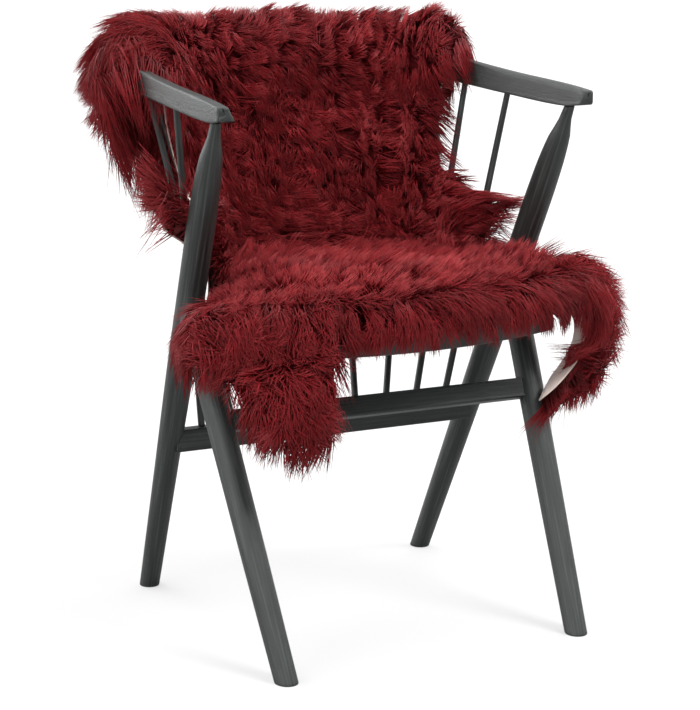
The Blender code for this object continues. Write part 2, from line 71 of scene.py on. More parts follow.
camera_data = bpy.data.cameras.new("camera")
camera_data.lens = CAMERA_LENS
camera = bpy.data.objects.new("camera", camera_data)
camera.location = CAMERA_AT + CHAIR
camera.rotation_euler = (math.radians(90 - CAMERA_DOWN), 0, -math.radians(CAMERA_ROUND))
bpy.context.scene.collection.objects.link(camera)
bpy.context.scene.camera = camera
print("camera looks", round(CAMERA_DOWN, 1), "degrees down from", camera.location[:])

# %% [markdown]
# ## Colours
#
# Colours are picked as sRGB hex codes, and shaders want linear light, so one function turns them into it.

# %% Colours
def linear(code):
    """Linear colour of an sRGB hex code: c / 12.92 up to 0.04045, ((c + 0.055) / 1.055) ** 2.4 above."""
    shares = [int(code[i:i + 2], 16) / 255 for i in (1, 3, 5)]
    return tuple(c / 12.92 if c <= 0.04045 else ((c + 0.055) / 1.055) ** 2.4 for c in shares) + (1.0,)


def new_material(name):
    """A node material, which starts with a Principled shader."""
    material = bpy.data.materials.new(name)
    material.use_nodes = True
    return material


def add_node(material, kind, links=(), **settings):
    """Add a shader node, set its properties and inputs by name, and link (output, input name) pairs."""
    node = material.node_tree.nodes.new(kind)
    for key, value in settings.items():
        label = key.replace("_", " ").title()
        if hasattr(node, key):
            setattr(node, key, value)
        else:
            node.inputs[label].default_value = value
    for output, target in links:
        material.node_tree.links.new(output, node.inputs[target])
    return node


def colour_ramp(material, factor, stops):
    """A ramp of (place, hex code) stops over a factor."""
    node = add_node(material, "ShaderNodeValToRGB", [(factor, "Fac")])
    ramp = node.color_ramp
    while len(ramp.elements) < len(stops):
        ramp.elements.new(1.0)
    for element, (place, code) in zip(ramp.elements, stops):
        element.position = place
        element.color = linear(code)
    return node.outputs["Color"]


def noise(material, vector, scale, detail):
    """The value of a noise texture over a vector."""
    links = [(vector, "Vector")]
    return add_node(material, "ShaderNodeTexNoise", links, scale=scale, detail=detail).outputs["Fac"]


def bump(material, height, strength, distance):
    """The normal of a surface that a height from 0 to 1 lifts by up to distance metres."""
    links = [(height, "Height")]
    return add_node(material, "ShaderNodeBump", links, strength=strength, distance=distance).outputs["Normal"]


def surface(material, **inputs):
    """Set the Principled shader's inputs by name: an output socket is linked, and all else is a value."""
    shader = material.node_tree.nodes["Principled BSDF"]
    for key, value in inputs.items():
        target = shader.inputs[key.replace("_", " ")]
        if isinstance(value, bpy.types.NodeSocket):
            material.node_tree.links.new(value, target)
        else:
            target.default_value = value


print("white is", linear("#ffffff")[:3])

# %% [markdown]
# ## Studio
#
# The photograph is taken on endless white paper. The world is a dim tent with four white cards that the wood
# mirrors, and three very soft suns stand for the banks of lamps: they light the floor evenly to its far end,
# which a lamp nearby can't. The floor glows and the tent is white for the camera's own rays only, so the
# shadows by the feet are faint and no light is added.

# %% Studio
FLOOR_HALF = 60.0
SUNS = (  # name, degrees round from the chair's front to its right, degrees up, degrees wide, strength
    ("key from the right", 34.0, 46.0, 24.0, 2.1),
    ("fill from the left", -48.0, 24.0, 50.0, 1.2),
    ("top", 170.0, 70.0, 60.0, 0.7))
TENT = 0.30
CARDS = (  # the way to a white card on the tent's wall, how near its edge is (1 is its middle), brightness
    ((-1.0, 0.10, 0.30), 0.80, 1.8),
    ((-0.55, 0.85, 0.08), 0.85, 3.2),
    ((1.0, 0.35, 0.30), 0.85, 1.6),
    ((0.1, 0.3, 1.0), 0.80, 1.2))
CARD_EDGE = 0.12
FLOOR_GLOW = 0.54

white = new_material("white floor")
seen = add_node(white, "ShaderNodeLightPath").outputs["Is Camera Ray"]
glow = add_node(white, "ShaderNodeMath", [(seen, 0)], operation="MULTIPLY")
glow.inputs[1].default_value = FLOOR_GLOW
surface(white, Base_Color=linear("#9a9a9a"), Roughness=0.8, Specular_IOR_Level=0.0,
        Emission_Color=linear("#ffffff"), Emission_Strength=glow.outputs["Value"])
floor_mesh = bpy.data.meshes.new("floor")
corners = [(x * FLOOR_HALF, y * FLOOR_HALF, 0) for x, y in ((-1, -1), (1, -1), (1, 1), (-1, 1))]
floor_mesh.from_pydata(corners, [], [(0, 1, 2, 3)])
floor_mesh.materials.append(white)
floor = bpy.data.objects.new("floor", floor_mesh)
bpy.context.scene.collection.objects.link(floor)

world = bpy.data.worlds.new("studio")
world.use_nodes = True
way = add_node(world, "ShaderNodeNewGeometry").outputs["Incoming"]
total = add_node(world, "ShaderNodeValue").outputs["Value"]
total.default_value = TENT
for direction, edge, brightness in CARDS:
    length = math.sqrt(sum(part * part for part in direction))
    facing = add_node(world, "ShaderNodeVectorMath", [(way, 0)], operation="DOT_PRODUCT")
    facing.inputs[1].default_value = [-part / length for part in direction]
    card = add_node(world, "ShaderNodeMapRange", [(facing.outputs["Value"], "Value")],
                    interpolation_type="SMOOTHSTEP", from_min=edge - CARD_EDGE, from_max=edge + CARD_EDGE,
                    to_min=0.0, to_max=brightness)
    total = add_node(world, "ShaderNodeMath", [(total, 0), (card.outputs["Result"], 1)]).outputs["Value"]
seen = add_node(world, "ShaderNodeLightPath").outputs["Is Camera Ray"]
total = add_node(world, "ShaderNodeMath", [(total, 0), (seen, 1)], operation="MAXIMUM").outputs["Value"]
background = world.node_tree.nodes["Background"]
world.node_tree.links.new(total, background.inputs["Strength"])
background.inputs["Color"].default_value = (1.0, 1.0, 1.0, 1.0)
bpy.context.scene.world = world
bpy.context.scene.view_settings.view_transform = "Standard"

for name, round_, up, wide, strength in SUNS:
    light = bpy.data.lights.new(name, "SUN")
    light.energy = strength
    light.angle = math.radians(wide)
    lamp = bpy.data.objects.new(name, light)
    lamp.rotation_euler = (math.radians(90 - up), 0, math.radians(round_))
    bpy.context.scene.collection.objects.link(lamp)
print(len(SUNS), "suns and a floor", 2 * FLOOR_HALF, "m wide")

# %% [markdown]
# ## Meshes from arrays
#
# Every surface is worked out as whole arrays of points and handed to Blender in one go. A grid of points has
# quads between its rows and columns; a round one closes on itself, and poles close its ends.

# %% Mesh helpers
def mesh_object(name, points, loops, sizes, uv=None, material=None):
    """A mesh from points, the corner numbers of all faces in turn, and each face's corner count."""
    mesh = bpy.data.meshes.new(name)
    mesh.vertices.add(len(points))
    mesh.vertices.foreach_set("co", np.ascontiguousarray(points, np.float32).ravel())
    mesh.loops.add(len(loops))
    mesh.loops.foreach_set("vertex_index", np.ascontiguousarray(loops, np.int32))
    mesh.polygons.add(len(sizes))
    mesh.polygons.foreach_set("loop_start", np.concatenate(([0], np.cumsum(sizes)[:-1])).astype(np.int32))
    mesh.update(calc_edges=True)
    mesh.polygons.foreach_set("use_smooth", np.ones(len(sizes), bool))
    if uv is not None:
        layer = mesh.uv_layers.new(name="UVMap")
        layer.data.foreach_set("uv", np.ascontiguousarray(uv, np.float32).ravel())
    if material:
        mesh.materials.append(material)
    thing = bpy.data.objects.new(name, mesh)
    bpy.context.scene.collection.objects.link(thing)
    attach(thing, "root")
    return thing


def round_faces(rings, sides, first=0):
    """Quads between closed rings of points, ring after ring, numbered from first."""
    number = first + np.arange(rings * sides).reshape(rings, sides)
    after = np.roll(number, -1, axis=1)
    return np.stack((number[:-1], after[:-1], after[1:], number[1:]), -1).reshape(-1, 4)


def tube_object(name, rings, uv, material):
    """A closed solid from rings of points with a pole at each end, the mean of its ring. uv holds a pair
    for each ring point, in metres along and across the grain."""
    count, sides = rings.shape[:2]
    poles = np.stack((rings[0].mean(0), rings[-1].mean(0)))
    points = np.concatenate((rings.reshape(-1, 3), poles))
    quads = round_faces(count, sides)
    ring = np.arange(sides)
    after = np.roll(ring, -1)
    south = np.stack((after, ring, np.full(sides, count * sides)), -1)
    last = (count - 1) * sides
    north = np.stack((last + ring, last + after, np.full(sides, count * sides + 1)), -1)
    loops = np.concatenate((quads.ravel(), south.ravel(), north.ravel()))
    sizes = np.concatenate((np.full(len(quads), 4), np.full(2 * sides, 3)))
    pole_uv = np.stack((uv[0].mean(0), uv[-1].mean(0)))
    uv = np.concatenate((uv.reshape(-1, 2), pole_uv))[loops]
    return mesh_object(name, points, loops, sizes, uv, material)


print("mesh helpers ready")

# %% [markdown]
# ## Black-stained wood
#
# The chair is an open-grained hardwood such as oak or ash, stained black under a thin satin lacquer. Stain
# settles in the pores, so the grain shows only as fine lines where light glances off it. It runs along each
# piece, so each carries its own grain coordinates in metres: the first along it and the second across.

# %% Wood material
GRAIN = (7.0, 300.0, 1.0)  # spots a metre along and across the grain, of its figure and of its pores
PORES = (60.0, 2400.0, 1.0)

wood = new_material("black stained wood")
grain = add_node(wood, "ShaderNodeUVMap", uv_map="UVMap").outputs["UV"]
stretched, fine = (add_node(wood, "ShaderNodeMapping", [(grain, "Vector")], scale=spots).outputs["Vector"]
                   for spots in (GRAIN, PORES))
figure, pores = noise(wood, stretched, 1.0, 4.0), noise(wood, fine, 1.0, 2.0)
stain = colour_ramp(wood, figure, ((0.30, "#141717"), (0.54, "#292d2c"), (0.72, "#454b49")))
roughness = add_node(wood, "ShaderNodeMapRange", [(figure, "Value")], to_min=0.22, to_max=0.56)
both = add_node(wood, "ShaderNodeMath", [(figure, 0), (pores, 1)]).outputs["Value"]
surface(wood, Base_Color=stain, Roughness=roughness.outputs["Result"], Normal=bump(wood, both, 0.60, 0.0006),
        IOR=1.5)


def stand_for(thing, node):
    """Hide the frame's solid named node, which a wooden piece stands in for; the piece, thing, is not used."""
    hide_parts(node)


print("wood:", len(wood.node_tree.nodes), "nodes")

# %% [markdown]
# ## Curves through tables
#
# Sizes that change along a piece are short tables of places and values. One curve reads them all, and it
# never swings past its values, so a level stretch stays level.

# %% Table curve
def smooth(at, places, values):
    """A curve through the values: cubic pieces whose slope at each value is the weighted harmonic mean of the
    slopes on its two sides, and zero where they differ in sign."""
    places = np.asarray(places, float)
    values = np.asarray(values, float)
    gaps = np.diff(places)
    slopes = np.diff(values) / gaps
    tangents = np.concatenate((slopes[:1], np.zeros(len(places) - 2), slopes[-1:]))
    rising = slopes[:-1] * slopes[1:] > 0
    before = np.where(rising, slopes[:-1], 1.0)
    after = np.where(rising, slopes[1:], 1.0)
    weight_1 = 2.0 * gaps[1:] + gaps[:-1]
    weight_2 = gaps[1:] + 2.0 * gaps[:-1]
    tangents[1:-1] = np.where(rising, (weight_1 + weight_2) / (weight_1 / before + weight_2 / after), 0.0)
    i = np.clip(np.searchsorted(places, at) - 1, 0, len(places) - 2)
    t = np.clip((at - places[i]) / gaps[i], 0.0, 1.0)
    from_left = (1 + 2 * t) * (1 - t) ** 2 * values[i] + t * (1 - t) ** 2 * gaps[i] * tangents[i]
    from_right = t * t * (3 - 2 * t) * values[i + 1] + t * t * (t - 1) * gaps[i] * tangents[i + 1]
    return from_left + from_right


def unit(vectors):
    """The vectors, each divided by its length."""
    return vectors / np.maximum(np.linalg.norm(vectors, axis=-1, keepdims=True), 1e-9)


def bend(u, start, length, angle):
    """How far on and how far aside a strip goes at u: straight, round by angle over length, straight again."""
    angle = np.where(np.abs(angle) < 1e-3, 1e-3, angle)
    share = np.clip((u - start) / length, 0.0, 1.0)
    past = np.maximum(u - start - length, 0.0)
    on = np.minimum(u, start) + length * np.sin(angle * share) / angle + past * np.cos(angle)
    aside = length * (1.0 - np.cos(angle * share)) / angle + past * np.sin(angle)
    return on, aside


print("halfway between 0 and 1 the curve is at", smooth(np.array([0.5]), (0, 1), (0, 1)))

# %% [markdown]
# ## Legs and spindles
#
# These are turned on a lathe: a profile of radii along the bar. Each leans, and is cut level where it meets
# the floor or the rail, so a level slice of it is a circle stretched the way the bar leans.

# %% Legs and spindles
FOOT_REAR = (0.2216, 0.2290, 0.0)
FOOT_FRONT = (0.2154, -0.2290, 0.0)
ARM_POST = (0.2566, -0.1203, 0.7000)
LEG_MEET = (0.2436, 0.0055, 0.4477)
LONG_LEG = ((0, .014), (.3, .0165), (.56, .0186), (.8, .0187),
            (.87, .0178), (.935, .0145), (.975, .0082), (1, .0068))
FRONT_LEG = ((0, .015), (.45, .0172), (.8, .018), (1, .0165))
FOOT_ROUND = 0.0012


def turned_bar(name, profile, foot, head, heights=60, sides=48):
    """A turned bar: at height share s the ring is radius(s) * (cos a, sin a), stretched along the lean by
    sqrt(1 + lean ** 2) and moved by lean * height; the two end edges are rounded over FOOT_ROUND."""
    foot = np.array(foot)
    rise = np.array(head) - foot
    lean = rise[:2] / rise[2]
    length = np.linalg.norm(rise)
    ends = np.array((0.0, 0.3, 1.0)) * FOOT_ROUND / rise[2]
    share = np.concatenate((ends, np.linspace(0.01, 0.99, heights), 1.0 - ends[::-1]))
    radius = smooth(share, *np.array(profile).T)
    radius[[0, -1]] -= FOOT_ROUND
    radius[[1, -2]] -= 0.3 * FOOT_ROUND
    a = np.linspace(0.0, 2.0 * np.pi, sides, endpoint=False)
    ring = np.stack((np.cos(a), np.sin(a)), -1)
    along = lean / max(np.linalg.norm(lean), 1e-9)
    ring = ring + (math.hypot(1.0, np.linalg.norm(lean)) - 1.0) * (ring @ along)[:, None] * along
    level = ring[None] * radius[:, None, None] + (foot[:2] + share[:, None] * rise[:2])[:, None]
    height = np.repeat((foot[2] + share * rise[2])[:, None], sides, 1)
    around = np.abs(a - np.pi)[None] * radius.mean()
    uv = np.stack(np.broadcast_arrays((share * length)[:, None], around), -1)
    return tube_object(name, np.concatenate((level, height[..., None]), -1) + CHAIR, uv, wood)


for side, word in ((-1, "left"), (1, "right")):
    mirror = np.array((side, 1, 1))
    for kind, profile, foot, head in (("long_leg_", LONG_LEG, FOOT_REAR, ARM_POST),
                                      ("front_leg_", FRONT_LEG, FOOT_FRONT, LEG_MEET)):
        bar = turned_bar("turned_" + kind + word, profile, mirror * foot, mirror * head)
        stand_for(bar, kind + word)
print("legs are", round(1000 * np.linalg.norm(np.subtract(ARM_POST, FOOT_REAR))), "mm long")

# %% [markdown]
# ## Bent arm rail
#
# The rail is bent in one sweep: straight behind the sitter, round at the corners and straight along the arms.
# Its outer face is upright, its top narrow, and its inner face slopes. The section is carried along the
# sweep, with each of its corners rounded by a small arc.

# %% Arm rail
RAIL_BACK_Y = 0.300
RAIL_STRAIGHT = 0.070
RAIL_ROUND = 0.263
RAIL_TURN = math.radians(87.0)
RAIL_HALF = 0.628
RAIL_EDGE = 0.0028
RAIL_SECTIONS = (  # distance along from the back's middle, underside z, top z, width below, width on top
    (0, .72, .765, .023, .015),
    (.2, .718, .758, .023, .015),
    (.33, .7126, .745, .0235, .0145),
    (.44, .7066, .736, .024, .0145),
    (.59, .7003, .7265, .024, .0145),
    (.628, .704, .7225, .024, .0145))


def rounded_section(corners, radius, steps=4):
    """A closed outline with its corners rounded: each becomes an arc between two plain points, at 2.2 radii
    from it on either side. corners is an array of (place along, corner, 2)."""
    before = unit(np.roll(corners, 1, axis=1) - corners)
    after = unit(np.roll(corners, -1, axis=1) - corners)
    t = np.linspace(0.0, 1.0, steps + 1)[:, None]
    arc = ((1 - t) ** 2 * before[:, :, None] + t ** 2 * after[:, :, None]) * radius
    plain = 2.2 * radius
    out = np.concatenate((plain * before[:, :, None], arc, plain * after[:, :, None]), 2)
    return (corners[:, :, None] + out).reshape(len(corners), -1, 2)


def girth(section):
    """Metres round each closed outline, from its first point on."""
    return np.cumsum(np.linalg.norm(np.diff(section, axis=1, prepend=section[:, -1:]), axis=-1), 1)


def rail_line(u):
    """The rail's middle line in plan, at u metres from the middle of the back; left is below zero."""
    on, aside = bend(np.abs(u), RAIL_STRAIGHT, RAIL_ROUND, RAIL_TURN)
    return np.stack((np.sign(u) * on, RAIL_BACK_Y - aside), -1)


ends = RAIL_HALF - np.array((0.0, 0.0006, 0.0028, 0.007))
u = np.concatenate((-ends, np.linspace(-0.61, 0.61, 123), ends[::-1]))
inset = np.interp(RAIL_HALF - np.abs(u), (0.0, 0.0006, 0.0028), (0.0028, 0.0010, 0.0))
table = np.array(RAIL_SECTIONS)
low, high, below, on_top = (smooth(np.abs(u), table[:, 0], table[:, k]) for k in (1, 2, 3, 4))
outer = below / 2 - inset
corners = np.stack((np.stack((inset - below / 2, low + inset), -1), np.stack((outer, low + inset), -1),
                    np.stack((outer, high - inset), -1),
                    np.stack((below / 2 - on_top + inset, high - inset), -1)), 1)
section = rounded_section(corners, RAIL_EDGE)
line = rail_line(u)
way = (rail_line(u + 1e-4) - rail_line(u - 1e-4)) / 2e-4
outward = np.stack((-way[:, 1], way[:, 0]), -1)
level = line[:, None] + outward[:, None] * section[..., :1]
rings = np.concatenate((level, section[..., 1:]), -1)
uv = np.stack((np.repeat(u[:, None], section.shape[1], 1), girth(section)), -1)
stand_for(tube_object("bent_arm_rail", rings + CHAIR, uv, wood), "arm_rail")
print("rail sweep is", round(2 * RAIL_HALF, 3), "m long")

# %% [markdown]
# ## Spindles
#
# Nine thin spindles fan up from the lower rear rail to the underside of the bent rail.

# %% Spindles
SPINDLES_EACH_SIDE = 4
PITCH_BELOW = 0.0475
PITCH_ABOVE = 0.1100
SPINDLE = ((0.0, 0.0048), (0.5, 0.0048), (1.0, 0.0042))
REAR_RAIL_Y = 0.1000
REAR_RAIL_TOP = 0.2598

for number in range(-SPINDLES_EACH_SIDE, SPINDLES_EACH_SIDE + 1):
    place = number * PITCH_ABOVE
    x, y = rail_line(np.array(float(place)))
    underside = float(smooth(np.array([abs(place)]), table[:, 0], table[:, 1])[0])
    node = "spindle_" + str(number + SPINDLES_EACH_SIDE + 1)
    bar = turned_bar("turned_" + node, SPINDLE, (number * PITCH_BELOW, REAR_RAIL_Y, REAR_RAIL_TOP),
                     (x, y, underside), heights=16, sides=20)
    stand_for(bar, node)
print(2 * SPINDLES_EACH_SIDE + 1, "spindles")

# %% [markdown]
# ## Cross rails and seat
#
# The cross rails are planed bars with broken edges; the front one leans with the front legs. The seat is a
# thin board, bowed at the front and the rear and let in between the legs.

# %% Cross rails and seat
CROSS_RAILS = (  # name, y, z, depth, height, half length, lean in degrees
    ("front_rail", -0.0686, 0.3063, 0.016, 0.028, 0.2320, 27.6),
    ("rear_rail", 0.1000, 0.2440, 0.020, 0.031, 0.2300, 0.0))
CROSS_EDGE = 0.0024
SEAT_TOP = 0.4300
SEAT_THICK = 0.0350
SEAT_EDGE = 0.0035


def cross_rail(name, y, z, deep, tall, half, lean):
    """A straight bar of a rounded rectangle, its section turned about its length by lean."""
    places = half - np.array((0.0, 0.001, 0.003))
    x = np.concatenate((-places, np.linspace(-half + 0.02, half - 0.02, 12), places[::-1]))
    box = np.array(((-deep, -tall), (deep, -tall), (deep, tall), (-deep, tall))) / 2
    section = rounded_section(np.repeat(box[None], len(x), 0), CROSS_EDGE)
    c, s = math.cos(math.radians(lean)), math.sin(math.radians(lean))
    turned = section @ np.array(((c, -s), (s, c)))
    points = np.concatenate((np.repeat(x[:, None, None], section.shape[1], 1), turned + (y, z)), -1)
    uv = np.stack((points[..., 0], girth(section)), -1)
    return tube_object("planed_" + name, points + CHAIR, uv, wood)


for row in CROSS_RAILS:
    stand_for(cross_rail(*row), row[0])

across = np.linspace(-1.0, 1.0, 61)
front = np.stack((0.2386 * across, -0.171 + 0.053 * across ** 2), -1)
rear = np.stack((0.200 * across, 0.150 - 0.092 * across ** 2), -1)[::-1]
side = np.array(((0.2460, -0.106), (0.2440, -0.055)))
outline = np.concatenate((side[::-1] * (-1, 1), front, side, rear))
step = np.roll(outline, -1, 0) - np.roll(outline, 1, 0)
normal = np.stack((step[:, 1], -step[:, 0]), -1) / np.linalg.norm(step, axis=1)[:, None]
edge = SEAT_EDGE * np.array((8.0, 2.2, 1.0, 0.3, 0.0, 0.0))
down = SEAT_EDGE * np.array((0.0, 0.0, 0.0, 0.3, 1.0, 2.2))
edge = np.concatenate((edge, edge[::-1]))
height = np.concatenate((SEAT_TOP - SEAT_THICK + down, SEAT_TOP - down[::-1]))
level = outline[None] - normal[None] * edge[:, None, None]
rings = np.concatenate((level, np.repeat(height[:, None, None], len(outline), 1)), -1)
stand_for(tube_object("shaped_seat", rings + CHAIR, level, wood), "seat")
print("seat is", round(2 * outline[:, 0].max(), 3), "m wide")

# %% [markdown]
# ## The skin as a surface of two parameters
#
# The photograph fixes how the hide lies, so it is drawn rather than simulated. One parameter runs along its
# middle, from the hem behind the rail to the end of the front flap, and the other across it. A table has a
# row for each place where the hide changes:
# y and z place its middle; it is level up to flat, bends forward by turn degrees up to reach, and flares
# back out by flare degrees past it; left and right are its half widths; past fold_l and fold_r its sides
# fall by angle_l and angle_r degrees, or rise when these are below zero; pile is the wool's height.

# %% Skin table
COLUMNS = ("y", "z", "flat", "reach", "turn", "flare",
           "left", "right", "fold_l", "angle_l", "fold_r", "angle_r", "pile")
SECTIONS = (
    ("rear hem", .331, .52, .07, .37, 87, 0, .24, .2, .26, 0, .26, 0, .042),
    ("rear hang", .329, .65, .07, .37, 87, 0, .31, .235, .26, 0, .26, 0, .044),
    ("rail rear", .3255, .745, .07, .367, 87, 0, .368, .32, .26, 0, .26, 0, .048),
    ("rail top", .303, .7725, .07, .335, 87, 0, .346, .332, .26, 0, .26, 0, .048),
    ("rail front", .2805, .745, .07, .302, 87, 0, .314, .3, .26, 0, .26, 0, .046),
    ("upper back", .2675, .675, .068, .286, 84, 0, .276, .276, .26, 0, .26, 0, .044),
    ("middle back", .237, .6, .066, .266, 80, 10, .252, .272, .24, 0, .24, -8, .044),
    ("lower back", .202, .524, .062, .236, 76, 66, .395, .345, .2, -17, .2, -17, .046),
    ("upper corner", .18, .472, .058, .2, 68, 56, .388, .33, .18, -25, .18, -25, .048),
    ("corner", .158, .447, .056, .195, 62, 44, .315, .29, .18, -31, .18, -28, .054),
    ("seat rear", .12, .4325, .06, .2, 46, 22, .226, .232, .18, -14, .18, -14, .062),
    ("behind legs", .07, .4303, .06, .2, 16, 0, .214, .214, .2, 0, .2, 0, .067),
    ("at the legs", 0, .4303, .03, .22, 2, 0, .212, .212, .266, 0, .268, 0, .066),
    ("seat front", -.07, .4303, 0, .24, -6, 0, .28, .305, .257, 60, .268, 70, .062),
    ("front roll", -.13, .4303, 0, .25, -18, 0, .31, .425, .257, 70, .265, 146, .056),
    ("front edge", -.178, .4315, 0, .25, -22, 0, .32, .475, .255, 60, .258, 148, .05),
    ("front face", -.19, .405, .02, .25, -28, 0, .312, .44, .255, 35, .256, 148, .044),
    ("flap", -.205, .34, .13, .3, -66, 0, .3, .3, .3, 0, .3, 0, .044),
    ("flap end", -.207, .25, .13, .29, -70, 0, .27, .27, .3, 0, .3, 0, .04))
FOLD_RADIUS_LEFT = 0.024
FOLD_RADIUS_RIGHT = 0.047
FLARE_START = 0.045
FLARE_LENGTH = 0.060
RAIL_FALL = 0.012  # how much lower the rail is at RAIL_FALL_HALF from its middle, and where that counts
RAIL_FALL_HALF = 0.31
ON_RAIL = (("rear hem", 1), ("rail rear", 1), ("rail front", 1), ("middle back", 0), ("flap end", 0))
SKIN_CLEAR = 0.0145
HEM_REAR = (  # share across (-1 is the left edge), metres from the rear hem
    (-1, .135), (-.86, .108), (-.7, .074), (-.58, .06), (-.42, .095), (-.2, .12), (0, .09),
    (.2, .12), (.42, .1), (.62, .07), (.8, .11), (1, .19))
HEM_FRONT = (  # share across, metres past the seat's front edge
    (-1, -.002), (-.88, .078), (-.76, .126), (-.67, .148), (-.59, .15), (-.5, .114), (-.43, .058),
    (-.37, .024), (0, .02), (.5, .02), (.8, .008), (1, -.016))

middle = np.array([row[1:3] for row in SECTIONS])
places = np.concatenate(([0.0], np.cumsum(np.hypot(*np.diff(middle, axis=0).T))))
PLACE = {row[0]: place for row, place in zip(SECTIONS, places)}
print("the middle line is", round(places[-1], 3), "m long")

# %% Skin surface
def section_value(column, along):
    """One column of the table at metres along the middle line."""
    return smooth(along, places, [row[1 + COLUMNS.index(column)] for row in SECTIONS])


def by_section(table, along, column=1):
    """One column of a table whose rows each start with a section's name, at metres along the middle line."""
    return smooth(along, [PLACE[row[0]] for row in table], [row[column] for row in table])


def clear_of_bars(points, clearance):
    """Push points nearer than clearance to any of the leaning bars straight out, level, to that distance."""
    for foot, head, widest in BARS:
        rise = head - foot
        share = (points[..., 2] - foot[2]) / rise[2]
        away = points[..., :2] - foot[:2] - share[..., None] * rise[:2]
        distance = np.maximum(np.linalg.norm(away, axis=-1), 1e-6)
        beside = (share > -0.05) & (share < 1.05)
        push = np.where(beside, np.maximum(widest + clearance - distance, 0.0) / distance, 0.0)
        points = points.copy()
        points[..., :2] += away * push[..., None]
    return points


BARS = []  # foot, head and widest radius of every bar that the hide passes
for side in (-1, 1):
    mirror = np.array((side, 1, 1))
    BARS.append((mirror * FOOT_REAR, mirror * ARM_POST, 0.0190))
    BARS.append((mirror * FOOT_FRONT, mirror * LEG_MEET, 0.0182))
    for number in range(SPINDLES_EACH_SIDE + 1):
        x, y = rail_line(np.array(number * PITCH_ABOVE))
        BARS.append((mirror * (number * PITCH_BELOW, REAR_RAIL_Y, REAR_RAIL_TOP),
                     mirror * (x, y, 0.715), 0.0048))


def skin(along, across):
    """The flesh side at metres along and across: a level run, a forward bend, a flare and a side fold, and
    then a push clear of the bars."""
    u = np.abs(across)
    on_left = across < 0
    fold = np.where(on_left, section_value("fold_l", along), section_value("fold_r", along))
    angle = np.radians(np.where(on_left, section_value("angle_l", along), section_value("angle_r", along)))
    radius = np.where(on_left, FOLD_RADIUS_LEFT, FOLD_RADIUS_RIGHT)
    out, down = bend(u, fold, np.maximum(np.abs(angle), 0.05) * radius, angle)
    flat, reach = section_value("flat", along), section_value("reach", along)
    turn = np.radians(section_value("turn", along))
    x, forward = bend(np.minimum(out, reach), flat, reach - flat, turn)
    past, outward = bend(np.maximum(out - reach, 0.0), FLARE_START, FLARE_LENGTH,
                         np.radians(section_value("flare", along)))
    x = x + past * np.cos(turn) + outward * np.sin(turn)
    forward = forward + past * np.sin(turn) - outward * np.cos(turn)
    fall = RAIL_FALL * by_section(ON_RAIL, along) * np.clip(u / RAIL_FALL_HALF, 0.0, 1.2) ** 2
    points = np.stack((np.sign(across) * x, section_value("y", along) - forward,
                       section_value("z", along) - down - fall), -1)
    return clear_of_bars(points, SKIN_CLEAR)


def mounds(table, along, across):
    """Sum of soft round mounds on the skin, height * exp(-(distance / spread) ** 2), for a table's rows of
    section, share of the half width across, spread along, spread across and height."""
    share = across / half_width(along, across)
    total = 0.0 * along
    for name, centre, spread_along, spread_across, height in table:
        off = ((along - PLACE[name]) / spread_along) ** 2 + ((share - centre) / spread_across) ** 2
        total = total + height * np.exp(-off)
    return total


RIM_INSET = (  # how far inside the table the skin itself ends, left and right: the rest is wool
    ("rear hem", .034, .016), ("rear hang", .06, .02), ("rail rear", .072, .026), ("rail top", .06, .02),
    ("rail front", .03, .014), ("upper back", .014, .016), ("lower back", .024, .022), ("corner", .016, .016),
    ("at the legs", .004, .004), ("seat front", .012, .006), ("front edge", .01, -.01),
    ("flap end", .008, .01))
HEM_INSET = 0.010
FLANK_LIFT = (  # how far the wool turns upwards as the flanks push out beside the legs
    ("upper corner", -1, .06, .3, 1.3), ("upper corner", 1, .06, .3, .9))
CREASE_LIFT = (  # how far it turns upwards in the crease between back and seat
    ("rear hem", 0), ("lower back", 0), ("corner", .8), ("seat rear", .8), ("at the legs", 0), ("flap end", 0))
NORMAL_REACH = 0.012


def standing(along, across):
    """The way the wool stands: the surface's normal, as the cross product of its two slopes taken over
    NORMAL_REACH, turned upwards in the crease and beside the legs."""
    ahead = skin(along + NORMAL_REACH, across) - skin(along - NORMAL_REACH, across)
    beside = skin(along, across + NORMAL_REACH) - skin(along, across - NORMAL_REACH)
    up = unit(np.cross(ahead, beside))
    up[..., 2] += by_section(CREASE_LIFT, along)
    up[..., 2] += mounds(FLANK_LIFT, along, across)
    return up / np.linalg.norm(up, axis=-1, keepdims=True)


def wool_past_rim(along, side):
    """How far the wool reaches past the skin's own rim on one side, below 0 for left and above for right."""
    return np.where(side < 0, by_section(RIM_INSET, along, 1), by_section(RIM_INSET, along, 2))


def half_width(along, side):
    """The skin's half width on one side: the section table's, less the wool past the rim."""
    table_half = np.where(side < 0, section_value("left", along), section_value("right", along))
    return table_half - wool_past_rim(along, side)


def hems(share):
    """Where the skin starts and ends along, at a share across."""
    start = smooth(share, *np.array(HEM_REAR).T)
    end = PLACE["front edge"] + smooth(share, *np.array(HEM_FRONT).T)
    return start + HEM_INSET, end - HEM_INSET


MEAN_HEMS = (0.06, 0.10)
span = np.linspace(PLACE["rear hem"] + MEAN_HEMS[0], PLACE["front edge"] + MEAN_HEMS[1], 200)
skin_area = float(np.mean(section_value("left", span) + section_value("right", span)) * (span[-1] - span[0]))
print("skin is about", round(skin_area, 3), "square metres")

# %% [markdown]
# ## The pelt
#
# A tanned sheepskin is about 2 mm of suede, undyed and pale on its flesh side. It is a closed slab, and shows
# where the right flank curls under, from behind and from below.

# %% Pelt
SUEDE_THICK = 0.0020
PELT_ROWS = 112
PELT_COLUMNS = 64


